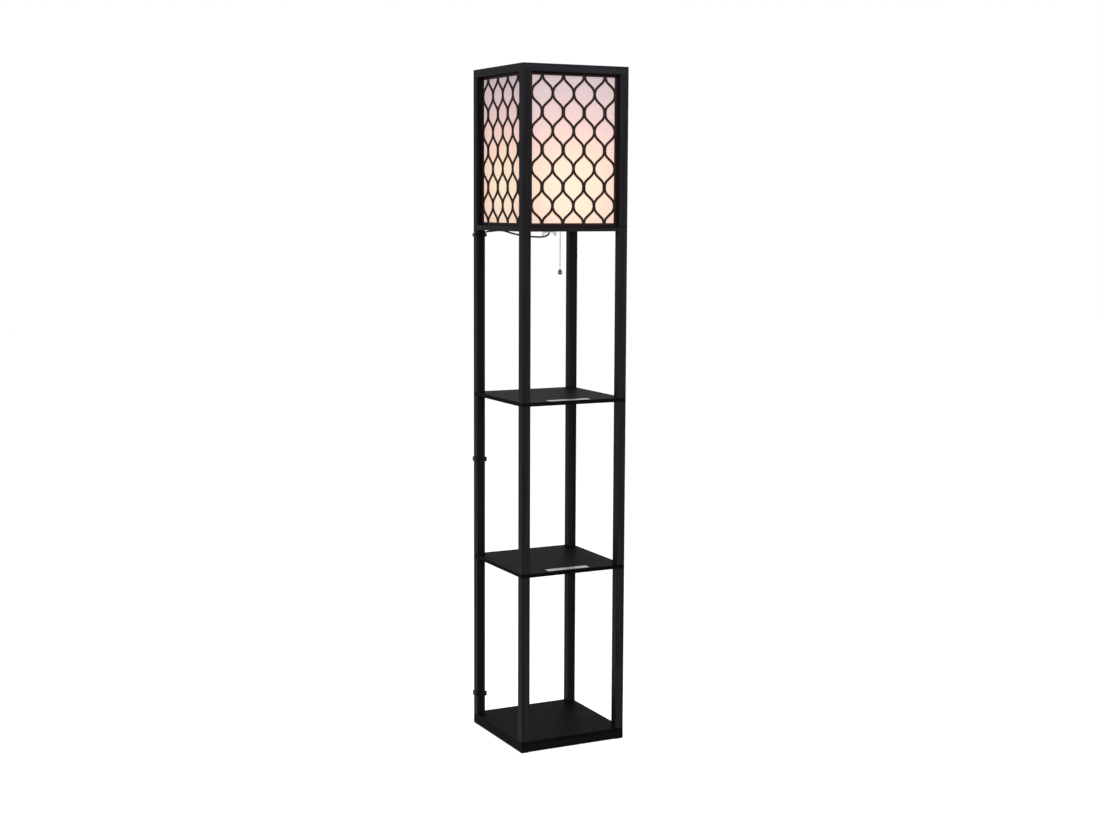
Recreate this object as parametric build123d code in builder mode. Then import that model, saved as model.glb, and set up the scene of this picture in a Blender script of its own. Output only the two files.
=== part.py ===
"""Shelf floor lamp: a square tower of posts and shelves under a lattice shade.

Millimetres, +Z up. The origin is the middle of the base, on the floor. The front face looks
along -Y, and the cord leaves behind the rear left post.
"""
from build123d import *
from math import atan2, cos, dist, hypot, pi, radians, sin, tan
import os

# --- Driving dimensions: the tower ------------------------------------------------------------
FOOTPRINT = 272.0        # side of the base, the shelves, the ring and the top frame
POST = 21.0              # side of a square post
PAD_HEIGHT = 1.5         # felt pad under the base
RAIL_HEIGHT = 16.5       # apron rail under the base board
BASE_BOARD = 9.0         # thickness of the base board
BAY = 392.0              # length of a lower post, which is the clear height of a shelf bay
SHELF = 9.0              # thickness of a shelf
RING = 12.0              # thickness of the frame under the shade
SHADE_POST = 349.0       # length of a post beside the shade
TOP_FRAME = 18.0         # thickness of the frame over the shade
EDGE_BREAK = 0.6         # small chamfer on the posts' long edges
PAD_SIZE = 18.0          # side of a felt pad

# --- Joinery ----------------------------------------------------------------------------------
STUD_RADIUS = 3.0
STUD_REACH = 20.0        # how far a stud enters a post
TOP_STUD_REACH = 12.0    # how far a stud enters the top frame
SCREW_RADIUS = 2.0
SCREW_HEAD_RADIUS = 4.0
SCREW_HEAD = 2.5
DOWEL_RADIUS = 2.5
DOWEL_REACH = 12.0       # how far a dowel enters each of the two pieces that it joins
DOWEL_SPACING = 16.0
HOLE_CLEARANCE = 0.2     # on the radius, round studs, screws and dowels
HOLE_SPARE = 1.0         # a blind hole is this much deeper than what enters it

# --- Shade ------------------------------------------------------------------------------------
LATTICE_RECESS = 12.0    # the lattice lies this far behind the posts' outer faces
LATTICE_THICK = 3.0
LATTICE_BORDER = 8.0     # solid edge at the sides of a lattice
LATTICE_MARGIN = 7.0     # from a lattice's edge to the middle of its outermost necks
LATTICE_SILL = 7.0       # solid edge at the bottom and the top
LATTICE_COLUMNS = 4      # whole ogees across
HALF_REPEAT = 42.6       # height from one row of necks to the next
LATTICE_ROWS = 7         # rows of necks
STROKE = 5.4             # width of a lattice line
LEAN = 49.0              # how far the lines lean over between two necks
WIDE_NECK = 8.2          # width of a neck in every second row
WIDE_FLAT = 3.0          # half of the straight stretch at a wide neck
NARROW_NECK = 6.3        # width of a neck in the rows between, where the lines only touch
WIDE_SHARE = 0.44        # share of the two bends' radii that the bend at a wide neck has
LINER_THICK = 0.6

# --- Socket, bulb and pull chain --------------------------------------------------------------
CROSSBAR_WIDTH = 30.0
CAP_RADIUS = 17.0
CAP_HEIGHT = 18.0
CAP_ROUND = 4.5          # fillet round the cap's foot
SHELL_RADIUS = 16.0
SHELL_HEIGHT = 35.0
SHELL_LAP = 6.0          # how far the shell reaches into the cap
SHEET_METAL = 0.8        # wall of the cap and the shell
CORE_RADIUS = 15.0
CORE_FLOOR = 9.0
SCREW_SHELL_RADIUS = 13.8
SCREW_SHELL_WALL = 0.4
SCREW_SHELL_GAP = 0.1    # between the core and the screw shell in it
CORE_LIP = 1.0           # the shell stands this far above the core
NIPPLE_RADIUS = 4.8
NIPPLE_STICK_OUT = 1.0   # below the crossbar
NIPPLE_INSIDE = 6.0      # above the crossbar
BULB_BASE_RADIUS = 13.0
BULB_BASE_LENGTH = 24.0
BULB_NECK_RADIUS = 12.6
BULB_GLOBE_RADIUS = 30.0
SHOULDER_ANGLE = -40.0   # where the globe's round part meets its neck
BULB_GLOBE_RISE = 48.0   # from the top of the base to the middle of the globe
CHAIN_REACH = 30.8       # from the socket's axis to the chain
CHAIN_TURN = -60.0       # the chain's direction round the socket, from +X
MOUTH_HEIGHT = 11.0      # the mouth's middle above the crossbar
MOUTH_RADIUS = 4.5
MOUTH_BORE = 2.2
MOUTH_TALL = 9.0
MOUTH_ARM_RADIUS = 3.5
MOUTH_ARM_GAP = 0.1      # between the arm and the cap that it stands on
STEM_RADIUS = 1.7
STEM_TRAVEL = 8.0        # how far the chain pulls down
BEAD_RADIUS = 1.6
BEAD_PITCH = 4.4
BEAD_COUNT = 23
CHAIN_WIRE = 0.6
COUPLING_RADIUS = 1.9
STEM_BELOW = 4.0         # stem that shows below the mouth
STEM_HEAD_RADIUS = 3.5
STEM_HEAD = 1.5
CHAIN_END = 1.0          # wire between the last bead and the knob
KNOB_RADIUS = 5.5
KNOB_HEIGHT = 13.0
KNOB_TOP_RADIUS = 1.65
KNOB_FOOT_RADIUS = 1.375
KNOB_BAND = (5.46, 7.54)  # the knob's widest part, from its top
KNOB_ROUND = (4.29, 10.92)  # a point of its rounded end: radius, and depth from its top
SWING_GAP = 0.3          # between pieces that move against each other
WING_SPAN = 20.0         # from the axis to the tip of a wing
WING_TALL = 13.0         # from the crossbar to the wings' lowest points
WING_FOOT = (13.0, 18.0) # the lowest edge of a wing, from the axis
WING_BACK = 16.0         # where a wing's upper edge turns down, from the axis
WING_THICK = 2.4
WING_HUB_RADIUS = 9.0
WING_HUB = 5.0

# --- Cord, clips and plug ---------------------------------------------------------------------
CORD_RADIUS = 2.1
CLIP_WALL = 1.8
CLIP_GAP = 0.2           # between a clip and its post, and between an eye and the cord
CLIP_TALL = 11.0
TOP_CLIP_TALL = 8.0
CLIP_RISE = {"bottom": 50.0, "middle": 236.0}  # a clip above the board that its post stands on
TOP_CLIP_DROP = 12.0     # the top clip below the ring
LIP_RADIUS = 2.6
EYE_WALL = 1.5
EYE_LENGTH = 8.0
TOP_EYE_SPARE = 1.2      # the top clip's eye is wider, because the cord bends in it
EYE_ENTRY = (15.5, 18.5, -10.0)  # the cord at the top eye, from the post's axis and the ring's underside
EYE_EXIT = (7.0, 21.5, -21.0)
HANK_RUN = 60.0          # straight part of the hank's loops
HANK_INNER = 10.5        # radius of the innermost end loop
HANK_TURNS = 2           # turns in each of its two layers
HANK_GAP = 0.5           # between neighbouring turns
HANK_X = -40.0           # the hank's middle
HANK_STAND_OFF = 3.0     # between the base and the hank
TAIL_LEVEL = 12.0        # the cord runs on level this far past the hank's straight part
TAIL_DROP = 32.0         # length of its S down to the plug
PLUG_STAND_OFF = 4.0     # between the base and the plug
UPPER_BOW_DROP = 57.0    # the upper bow's start, below the ring
BOW_END = 59.0           # the bows' ends, from the middle clip
LOWER_BOW_END = 81.0     # the lower bow's end, above the bottom clip
EYE_STRAIGHT = 28.0      # the cord is straight this far each side of an eye
BEND_SHARE = 0.45        # the most of a run that one bend of the cord takes
TIE_WALL = 1.0
TIE_WIDTH = 9.0
PLUG_LENGTH = 26.0
PLUG_WIDTH = 21.0
PLUG_TALL = 12.6
PLUG_TAIL = 16.0         # tapered strain relief on the plug
TAIL_RADIUS = 2.7        # of the taper where the cord enters it
TAIL_ROOT_RADIUS = 5.0   # of the taper where it meets the plug
PLUG_ROUND = 3.15        # fillet along the plug
BLADE_LENGTH = 17.0
BLADE_WIDTH = 6.3
BLADE_THICK = 1.5
BLADE_SPACING = 12.7

# --- Blank strips on the shelves --------------------------------------------------------------
STRIP_LENGTH = 108.0
STRIP_WIDTH = 20.0
STRIP_THICK = 0.3
STRIP_INSET = 8.0        # from the shelf's front edge
STRIP_SHIFT = -8.0       # of its middle from the shelf's middle

# --- Levels and places that follow ------------------------------------------------------------
half = FOOTPRINT / 2
post_centre = half - POST / 2
inner = half - POST                          # the posts' inner faces
base_top = PAD_HEIGHT + RAIL_HEIGHT + BASE_BOARD
lower_shelf_z = base_top + BAY
upper_shelf_z = lower_shelf_z + SHELF + BAY
ring_z = upper_shelf_z + SHELF + BAY
ring_top = ring_z + RING
top_frame_z = ring_top + SHADE_POST
height = top_frame_z + TOP_FRAME
corners = {"front_left": (-1, -1), "front_right": (1, -1), "rear_left": (-1, 1), "rear_right": (1, 1)}
corner_places = [(sx * post_centre, sy * post_centre) for sx, sy in corners.values()]
sides = {"front": 0.0, "right": 90.0, "rear": 180.0, "left": 270.0}
pieces = []

UP = (Align.CENTER, Align.CENTER, Align.MIN)        # a solid that stands on its place
DOWN = (Align.CENTER, Align.CENTER, Align.MAX)      # a solid that hangs from its place


def save(name, part):
    """Labels a finished piece and writes it."""
    part.label = name
    export_step(part, f"parts/{name}.step")
    pieces.append(name)
    print(f"{name:22s} {len(part.solids()):3d} solid(s) {part.volume:12.1f} mm3")


def side_plane(angle, out, z):
    """A plane on one side of the tower: x runs to the right, y runs up, and z points outwards."""
    a = radians(angle)
    outward = Vector(sin(a), -cos(a), 0)
    return Plane(origin=outward * out + Vector(0, 0, z), x_dir=(cos(a), sin(a), 0), z_dir=outward)


os.makedirs("parts", exist_ok=True)

# --- Base -------------------------------------------------------------------------------------
with BuildPart() as base_pads:
    with BuildSketch(Plane.XY):
        with Locations(*corner_places):
            Rectangle(PAD_SIZE, PAD_SIZE)
        with Locations(*corner_places):
            Circle(SCREW_HEAD_RADIUS + HOLE_CLEARANCE, mode=Mode.SUBTRACT)
    extrude(amount=PAD_HEIGHT)
save("base_pads", base_pads.part)

with BuildPart() as base_frame:
    with BuildSketch(Plane.XY.offset(PAD_HEIGHT)):
        Rectangle(FOOTPRINT, FOOTPRINT)
        Rectangle(2 * inner, 2 * inner, mode=Mode.SUBTRACT)
    extrude(amount=RAIL_HEIGHT)
    with Locations(*[(x, y, PAD_HEIGHT) for x, y in corner_places]):
        Cylinder(
            SCREW_HEAD_RADIUS + HOLE_CLEARANCE, SCREW_HEAD, mode=Mode.SUBTRACT,
            align=UP,
        )
        Cylinder(
            SCREW_RADIUS + HOLE_CLEARANCE, RAIL_HEIGHT, mode=Mode.SUBTRACT,
            align=UP,
        )
save("base_frame", base_frame.part)


def drilled_board(z, thick, hole_radius, opening=0.0, hole_depth=None):
    """A square board or frame of the full footprint, with a hole in each corner."""
    with BuildPart() as board:
        with BuildSketch(Plane.XY.offset(z)):
            Rectangle(FOOTPRINT, FOOTPRINT)
            if opening:
                Rectangle(opening, opening, mode=Mode.SUBTRACT)
        extrude(amount=thick)
        with BuildSketch(Plane.XY.offset(z)):
            with Locations(*corner_places):
                Circle(hole_radius)
        extrude(amount=hole_depth or thick, mode=Mode.SUBTRACT)
        upright = board.edges().filter_by(Axis.Z)
        upright = upright.filter_by(lambda e: hypot(e.center().X, e.center().Y) > half)
        chamfer(upright, EDGE_BREAK)
    return board.part


save("base_board", drilled_board(base_top - BASE_BOARD, BASE_BOARD, SCREW_RADIUS + HOLE_CLEARANCE))

# --- Posts ------------------------------------------------------------------------------------
stud_hole = STUD_RADIUS + HOLE_CLEARANCE
screw_hole = SCREW_RADIUS + HOLE_CLEARANCE


def post(place, z, length, low_radius, low_depth, high_depth):
    """A square post with a blind hole in each end for the stud or screw that holds it."""
    with BuildPart() as stick:
        with BuildSketch(Plane.XY.offset(z)):
            with Locations(place):
                Rectangle(POST, POST)
        extrude(amount=length)
        chamfer(stick.edges().filter_by(Axis.Z), EDGE_BREAK)
        with Locations((*place, z)):
            Cylinder(
                low_radius, low_depth + HOLE_SPARE, mode=Mode.SUBTRACT,
                align=UP,
            )
        with Locations((*place, z + length)):
            Cylinder(
                stud_hole, high_depth + HOLE_SPARE, mode=Mode.SUBTRACT,
                align=DOWN,
            )
    return stick.part


bays = {
    "bottom": (base_top, screw_hole),
    "middle": (lower_shelf_z + SHELF, stud_hole),
    "top": (upper_shelf_z + SHELF, stud_hole),
}
for bay, (z, low_radius) in bays.items():
    for corner, place in zip(corners, corner_places):
        save(f"post_{bay}_{corner}", post(place, z, BAY, low_radius, STUD_REACH, STUD_REACH))
for corner, place in zip(corners, corner_places):
    save(f"shade_post_{corner}", post(place, ring_top, SHADE_POST, stud_hole, STUD_REACH, STUD_REACH))

# --- Shelves, ring and top frame ----------------------------------------------------------------
save("shelf_lower", drilled_board(lower_shelf_z, SHELF, stud_hole))
save("shelf_upper", drilled_board(upper_shelf_z, SHELF, stud_hole))
top_hole_depth = TOP_STUD_REACH + HOLE_SPARE
save("top_frame", drilled_board(top_frame_z, TOP_FRAME, stud_hole, 2 * inner, top_hole_depth))

dowel_ends = [
    (side * inner, row * DOWEL_SPACING / 2, ring_z + RING / 2) for side in (-1, 1) for row in (-1, 1)
]
dowel_hole_length = 2 * (DOWEL_REACH + HOLE_SPARE / 2)
with BuildPart() as shade_ring:
    add(drilled_board(ring_z, RING, stud_hole, 2 * inner))
    with Locations(*dowel_ends):
        Cylinder(
            DOWEL_RADIUS + HOLE_CLEARANCE, dowel_hole_length, rotation=(0, 90, 0), mode=Mode.SUBTRACT
        )
save("shade_ring", shade_ring.part)

with BuildPart() as crossbar:
    with BuildSketch(Plane.XY.offset(ring_z)):
        Rectangle(2 * inner, CROSSBAR_WIDTH)
        Circle(NIPPLE_RADIUS + HOLE_CLEARANCE, mode=Mode.SUBTRACT)
    extrude(amount=RING)
    with Locations(*dowel_ends):
        Cylinder(
            DOWEL_RADIUS + HOLE_CLEARANCE, dowel_hole_length, rotation=(0, 90, 0), mode=Mode.SUBTRACT
        )
save("crossbar", crossbar.part)


# --- Fasteners ----------------------------------------------------------------------------------
def studs(bottom, length):
    """Four plain studs, one on each post's axis, with broken ends."""
    with BuildPart() as four:
        with Locations(*[(x, y, bottom) for x, y in corner_places]):
            Cylinder(STUD_RADIUS, length, align=UP)
        chamfer(four.edges().filter_by(GeomType.CIRCLE), EDGE_BREAK)
    return four.part


shelf_stud = SHELF + 2 * STUD_REACH
save("studs_shelf_lower", studs(lower_shelf_z - STUD_REACH, shelf_stud))
save("studs_shelf_upper", studs(upper_shelf_z - STUD_REACH, shelf_stud))
save("studs_ring", studs(ring_z - STUD_REACH, RING + 2 * STUD_REACH))
save("studs_top", studs(top_frame_z - STUD_REACH, STUD_REACH + TOP_STUD_REACH))

with BuildPart() as base_screws:
    with Locations(*[(x, y, PAD_HEIGHT) for x, y in corner_places]):
        Cylinder(SCREW_HEAD_RADIUS, SCREW_HEAD, align=UP)
        Cylinder(
            SCREW_RADIUS, RAIL_HEIGHT + BASE_BOARD + STUD_REACH,
            align=UP,
        )
save("base_screws", base_screws.part)

with BuildPart() as crossbar_dowels:
    with Locations(*dowel_ends):
        Cylinder(DOWEL_RADIUS, 2 * DOWEL_REACH, rotation=(0, 90, 0))
save("crossbar_dowels", crossbar_dowels.part)

# --- Lattice panels -------------------------------------------------------------------------------
# Each wavy line bends out of a wide neck, leans over to the next row and bends back into a narrow
# neck, where it only touches its neighbour. A hole is what lies between two neighbouring lines.
panel_width = 2 * inner
panel_height = SHADE_POST
pitch = (panel_width - 2 * LATTICE_MARGIN) / LATTICE_COLUMNS
lean = radians(LEAN)
line_rise = HALF_REPEAT - WIDE_FLAT                              # height of the S between two necks
line_swing = pitch / 2 + STROKE - WIDE_NECK / 2 - NARROW_NECK / 2  # how far the S moves across
bends = (line_rise * sin(lean) - line_swing * cos(lean)) / (1 - cos(lean))  # its two radii together
wide = (WIDE_NECK / 2, WIDE_FLAT, bends * WIDE_SHARE)
narrow = (NARROW_NECK / 2, 0.0, bends * (1 - WIDE_SHARE))


def hole_quarter(side, tip, right, up):
    """The points of one quarter of a hole's edge, from the neck at its side to the one at its tip."""
    side_neck, side_flat, side_bend = side
    tip_neck, tip_flat, tip_bend = tip
    widest = pitch / 2 - side_neck
    inner_bend, outer_bend = side_bend - STROKE / 2, tip_bend + STROKE / 2
    side_middle = Vector(widest - inner_bend, side_flat)
    tip_middle = Vector(tip_neck + tip_bend - STROKE / 2, HALF_REPEAT - tip_flat)
    lean_out = Vector(cos(lean), sin(lean))
    bend_end = side_middle + lean_out * inner_bend
    lean_end = tip_middle - lean_out * outer_bend
    tip = Vector(0, tip_middle.Y - (outer_bend**2 - tip_middle.X**2) ** 0.5)
    side_mid = side_middle + Vector(cos(lean / 2), sin(lean / 2)) * inner_bend
    tip_angle = atan2(tip_middle.Y - tip.Y, tip_middle.X)
    tip_half = (lean + tip_angle) / 2
    tip_mid = tip_middle - Vector(cos(tip_half), sin(tip_half)) * outer_bend
    points = (Vector(widest, 0), Vector(widest, side_flat), side_mid, bend_end, lean_end, tip_mid, tip)
    return [(p.X * right, p.Y * up) for p in points]


def ogee_hole(side, tip):
    """The closed edge of one hole, drawn a quarter at a time."""
    for right, up in ((1, 1), (-1, 1), (-1, -1), (1, -1)):
        points = hole_quarter(side, tip, right, up)
        start, flat_end, side_mid, bend_end, lean_end, tip_mid, tip_end = points
        if side[1]:
            Line(start, flat_end)
        ThreePointArc(flat_end, side_mid, bend_end)
        Line(bend_end, lean_end)
        ThreePointArc(lean_end, tip_mid, tip_end)


middle_row = (LATTICE_ROWS - 1) / 2
hole_places = []
for row in range(-1, LATTICE_ROWS + 1):
    whole_row = row % 2 == 0                 # between narrow necks, with no half holes at its ends
    count = LATTICE_COLUMNS if whole_row else LATTICE_COLUMNS + 1
    necks = (narrow, wide) if whole_row else (wide, narrow)
    for column in range(count):
        across = (column - (count - 1) / 2) * pitch
        hole_places.append(((across, (row - middle_row) * HALF_REPEAT), necks))

with BuildSketch() as lattice_holes:
    for place, necks in hole_places:
        with BuildSketch(mode=Mode.PRIVATE) as one_hole:
            with BuildLine():
                ogee_hole(*necks)
            make_face()
        with Locations(place):
            add(one_hole.sketch)
    Rectangle(
        panel_width - 2 * LATTICE_BORDER, panel_height - 2 * LATTICE_SILL, mode=Mode.INTERSECT
    )

with BuildSketch() as lattice_face:
    Rectangle(panel_width, panel_height)
    add(lattice_holes.sketch, mode=Mode.SUBTRACT)

panel_middle = ring_top + panel_height / 2
for side, angle in sides.items():
    lattice_front = side_plane(angle, half - LATTICE_RECESS, panel_middle)
    liner_front = side_plane(angle, half - LATTICE_RECESS - LATTICE_THICK, panel_middle)
    with BuildPart() as lattice:
        with BuildSketch(lattice_front):
            add(lattice_face.sketch)
        extrude(amount=-LATTICE_THICK)
    save(f"lattice_{side}", lattice.part)
    with BuildPart() as liner:
        with BuildSketch(liner_front):
            Rectangle(panel_width, panel_height)
        extrude(amount=-LINER_THICK)
    save(f"liner_{side}", liner.part)

# --- Socket ---------------------------------------------------------------------------------------
cap_top = ring_top + CAP_HEIGHT
shell_z = cap_top - SHELL_LAP
shell_top = shell_z + SHELL_HEIGHT
core_z = ring_top + NIPPLE_INSIDE
core_top = shell_top - CORE_LIP
cavity_z = core_z + CORE_FLOOR
exit_z = ring_z - NIPPLE_STICK_OUT

with BuildPart() as nipple:
    with Locations((0, 0, exit_z)):
        Cylinder(NIPPLE_RADIUS, core_z - exit_z, align=UP)
        Cylinder(CORD_RADIUS + CLIP_GAP, core_z - exit_z, align=UP, mode=Mode.SUBTRACT)
save("threaded_nipple", nipple.part)

with BuildPart() as socket_cap:
    with Locations((0, 0, ring_top)):
        Cylinder(CAP_RADIUS, CAP_HEIGHT, align=UP)
    fillet(socket_cap.faces().sort_by(Axis.Z)[0].edges(), CAP_ROUND)
    offset(amount=-SHEET_METAL, openings=socket_cap.faces().sort_by(Axis.Z)[-1])
    with Locations((0, 0, ring_top)):
        Cylinder(NIPPLE_RADIUS + HOLE_CLEARANCE, 4 * SHEET_METAL, mode=Mode.SUBTRACT)
save("socket_cap", socket_cap.part)

with BuildPart() as socket_shell:
    with Locations((0, 0, shell_z)):
        Cylinder(SHELL_RADIUS, SHELL_HEIGHT, align=UP)
        Cylinder(SHELL_RADIUS - SHEET_METAL, SHELL_HEIGHT, align=UP, mode=Mode.SUBTRACT)
save("socket_shell", socket_shell.part)

with BuildPart() as socket_core:
    with Locations((0, 0, core_z)):
        Cylinder(CORE_RADIUS, core_top - core_z, align=UP)
    with Locations((0, 0, cavity_z)):
        Cylinder(SCREW_SHELL_RADIUS, core_top - cavity_z, align=UP, mode=Mode.SUBTRACT)
save("socket_core", socket_core.part)

with BuildPart() as screw_shell:
    with Locations((0, 0, cavity_z)):
        Cylinder(SCREW_SHELL_RADIUS - SCREW_SHELL_GAP, core_top - cavity_z - CORE_LIP, align=UP)
        Cylinder(
            SCREW_SHELL_RADIUS - SCREW_SHELL_GAP - SCREW_SHELL_WALL, core_top - cavity_z,
            align=UP, mode=Mode.SUBTRACT,
        )
save("screw_shell", screw_shell.part)

with BuildPart() as wing_nut:
    with BuildSketch(Plane.XZ):
        with BuildLine():
            Polyline(
                (0, ring_z), (0, ring_z - WING_HUB), (WING_HUB_RADIUS, ring_z - WING_HUB),
                (WING_FOOT[0], ring_z - WING_TALL), (WING_FOOT[1], ring_z - WING_TALL),
                (WING_SPAN, ring_z - WING_HUB), (WING_BACK, ring_z - WING_HUB / 2),
                (WING_HUB_RADIUS / 2, ring_z - WING_HUB / 4), (WING_HUB_RADIUS / 2, ring_z), (0, ring_z),
            )
        make_face()
        mirror(about=Plane.YZ)
    extrude(amount=WING_THICK / 2, both=True)
    with Locations((0, 0, ring_z)):
        Cylinder(WING_HUB_RADIUS, WING_HUB, align=DOWN)
        Cylinder(NIPPLE_RADIUS + HOLE_CLEARANCE, WING_HUB, align=DOWN, mode=Mode.SUBTRACT)
save("wing_nut", wing_nut.part)

# --- Bulb -----------------------------------------------------------------------------------------
bulb_z = cavity_z + SWING_GAP
globe_z = bulb_z + BULB_BASE_LENGTH
globe_middle = globe_z + BULB_GLOBE_RISE
with BuildPart() as bulb_base:
    with Locations((0, 0, bulb_z)):
        Cylinder(BULB_BASE_RADIUS, BULB_BASE_LENGTH, align=UP)
save("bulb_base", bulb_base.part)

shoulder = radians(SHOULDER_ANGLE)
shoulder_x = BULB_GLOBE_RADIUS * cos(shoulder)
shoulder_z = globe_middle + BULB_GLOBE_RADIUS * sin(shoulder)
with BuildPart() as bulb_globe:
    with BuildSketch(Plane.XZ):
        with BuildLine():
            Polyline(
                (0, globe_middle + BULB_GLOBE_RADIUS), (0, globe_z), (BULB_NECK_RADIUS, globe_z),
                (BULB_NECK_RADIUS, shell_top), (shoulder_x, shoulder_z),
            )
            ThreePointArc(
                (shoulder_x, shoulder_z), (BULB_GLOBE_RADIUS, globe_middle),
                (0, globe_middle + BULB_GLOBE_RADIUS),
            )
        make_face()
    revolve(axis=Axis.Z)
save("bulb_globe", bulb_globe.part)

# --- Pull chain -----------------------------------------------------------------------------------
chain_way = Vector(cos(radians(CHAIN_TURN)), sin(radians(CHAIN_TURN)), 0)
chain_place = Vector(*[round(c, 2) for c in chain_way * CHAIN_REACH])  # to a hundredth of a mm
mouth_z = ring_top + MOUTH_HEIGHT
mouth_top = mouth_z + MOUTH_TALL / 2
mouth_bottom = mouth_z - MOUTH_TALL / 2
stem_bottom = mouth_bottom - STEM_BELOW
ball_z = stem_bottom - SWING_GAP - COUPLING_RADIUS
first_bead = ball_z - COUPLING_RADIUS - SWING_GAP - BEAD_RADIUS
bead_heights = [first_bead - i * BEAD_PITCH for i in range(BEAD_COUNT)]
knob_top = bead_heights[-1] - BEAD_RADIUS - CHAIN_END
print("chain swings about", (chain_place.X, chain_place.Y, ball_z))

with BuildPart() as chain_mouth:
    arm_start = chain_way * (CAP_RADIUS + MOUTH_ARM_GAP) + Vector(0, 0, mouth_z)
    with BuildSketch(Plane(origin=arm_start, z_dir=chain_way)):
        Circle(MOUTH_ARM_RADIUS)
    extrude(amount=CHAIN_REACH - CAP_RADIUS - MOUTH_ARM_GAP)
    with Locations(chain_place + Vector(0, 0, mouth_z)):
        Cylinder(MOUTH_RADIUS, MOUTH_TALL)
        Cylinder(MOUTH_BORE, MOUTH_TALL, mode=Mode.SUBTRACT)
save("chain_mouth", chain_mouth.part)

stem_top = mouth_top + STEM_TRAVEL + SWING_GAP
with BuildPart() as pull_stem:
    with Locations(chain_place + Vector(0, 0, stem_bottom)):
        Cylinder(STEM_RADIUS, stem_top - stem_bottom, align=UP)
    with Locations(chain_place + Vector(0, 0, stem_top)):
        Cylinder(STEM_HEAD_RADIUS, STEM_HEAD, align=UP)
save("pull_stem", pull_stem.part)

with BuildPart() as chain_coupling:
    with Locations(chain_place + Vector(0, 0, ball_z)):
        Sphere(COUPLING_RADIUS)
save("chain_coupling", chain_coupling.part)

with BuildPart() as pull_chain:
    with Locations(chain_place + Vector(0, 0, knob_top)):
        Cylinder(CHAIN_WIRE, first_bead - knob_top, align=UP)
    with Locations(*[chain_place + Vector(0, 0, z) for z in bead_heights]):
        Sphere(BEAD_RADIUS)
save("pull_chain", pull_chain.part)

with BuildPart() as chain_knob:
    with BuildSketch(Plane(origin=chain_place, x_dir=(1, 0, 0), z_dir=(0, -1, 0))):
        with BuildLine():
            Polyline(
                (0, knob_top - KNOB_HEIGHT), (0, knob_top), (KNOB_TOP_RADIUS, knob_top),
                (KNOB_RADIUS, knob_top - KNOB_BAND[0]), (KNOB_RADIUS, knob_top - KNOB_BAND[1]),
            )
            ThreePointArc(
                (KNOB_RADIUS, knob_top - KNOB_BAND[1]), (KNOB_ROUND[0], knob_top - KNOB_ROUND[1]),
                (KNOB_FOOT_RADIUS, knob_top - KNOB_HEIGHT),
            )
            Line((KNOB_FOOT_RADIUS, knob_top - KNOB_HEIGHT), (0, knob_top - KNOB_HEIGHT))
        make_face()
    revolve(axis=Axis(chain_place, (0, 0, 1)))
save("chain_knob", chain_knob.part)

# --- Cord clips -----------------------------------------------------------------------------------
# Each clip snaps on the rear left post from behind. Its lips curl outwards at the front.
post_x, post_y = -post_centre, post_centre
clip_middles = {
    "clip_bottom": bays["bottom"][0] + CLIP_RISE["bottom"],
    "clip_middle": bays["middle"][0] + CLIP_RISE["middle"],
    "clip_top": ring_z - TOP_CLIP_DROP,
}
clip_inside = POST / 2 + CLIP_GAP
clip_outside = clip_inside + CLIP_WALL
eye_bore = CORD_RADIUS + CLIP_GAP
cord_line_y = post_y + clip_outside + eye_bore
top_eye = [Vector(post_x + x, post_y + y, ring_z + z) for x, y, z in (EYE_ENTRY, EYE_EXIT)]

for name, middle in clip_middles.items():
    top_clip = name == "clip_top"
    tall = TOP_CLIP_TALL if top_clip else CLIP_TALL
    eye_place = (top_eye[0] + top_eye[1]) / 2 if top_clip else Vector(post_x, cord_line_y, middle)
    eye_axis = (top_eye[1] - top_eye[0]).normalized() if top_clip else Vector(0, 0, 1)
    eye_plane = Plane(origin=eye_place, z_dir=eye_axis)
    bore = eye_bore + (TOP_EYE_SPARE if top_clip else 0)
    with BuildPart() as clip:
        with BuildSketch(Plane.XY.offset(middle - tall / 2)):
            with Locations((post_x, post_y)):
                Rectangle(2 * clip_outside, 2 * clip_outside)
                Rectangle(2 * clip_inside, 2 * clip_inside, mode=Mode.SUBTRACT)
            with Locations((post_x, post_y - clip_outside)):
                Rectangle(2 * clip_outside, 2 * LIP_RADIUS, mode=Mode.SUBTRACT)
            lip_out = clip_inside + LIP_RADIUS
            lip_y = inner + LIP_RADIUS
            with Locations((post_x - lip_out, lip_y), (post_x + lip_out, lip_y)):
                Circle(LIP_RADIUS)
        extrude(amount=tall)
        if top_clip:
            reach = eye_place.Y - post_y - clip_outside
            with Locations((eye_place.X, post_y + clip_outside, middle)):
                Box(2 * LIP_RADIUS, reach, tall, align=(Align.CENTER, Align.MIN, Align.CENTER))
        with BuildSketch(eye_plane):
            Circle(bore + EYE_WALL)
        extrude(amount=EYE_LENGTH / 2, both=True)
        with BuildSketch(eye_plane):
            Circle(bore)
        extrude(amount=EYE_LENGTH, both=True, mode=Mode.SUBTRACT)
    save(name, clip.part)

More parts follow.
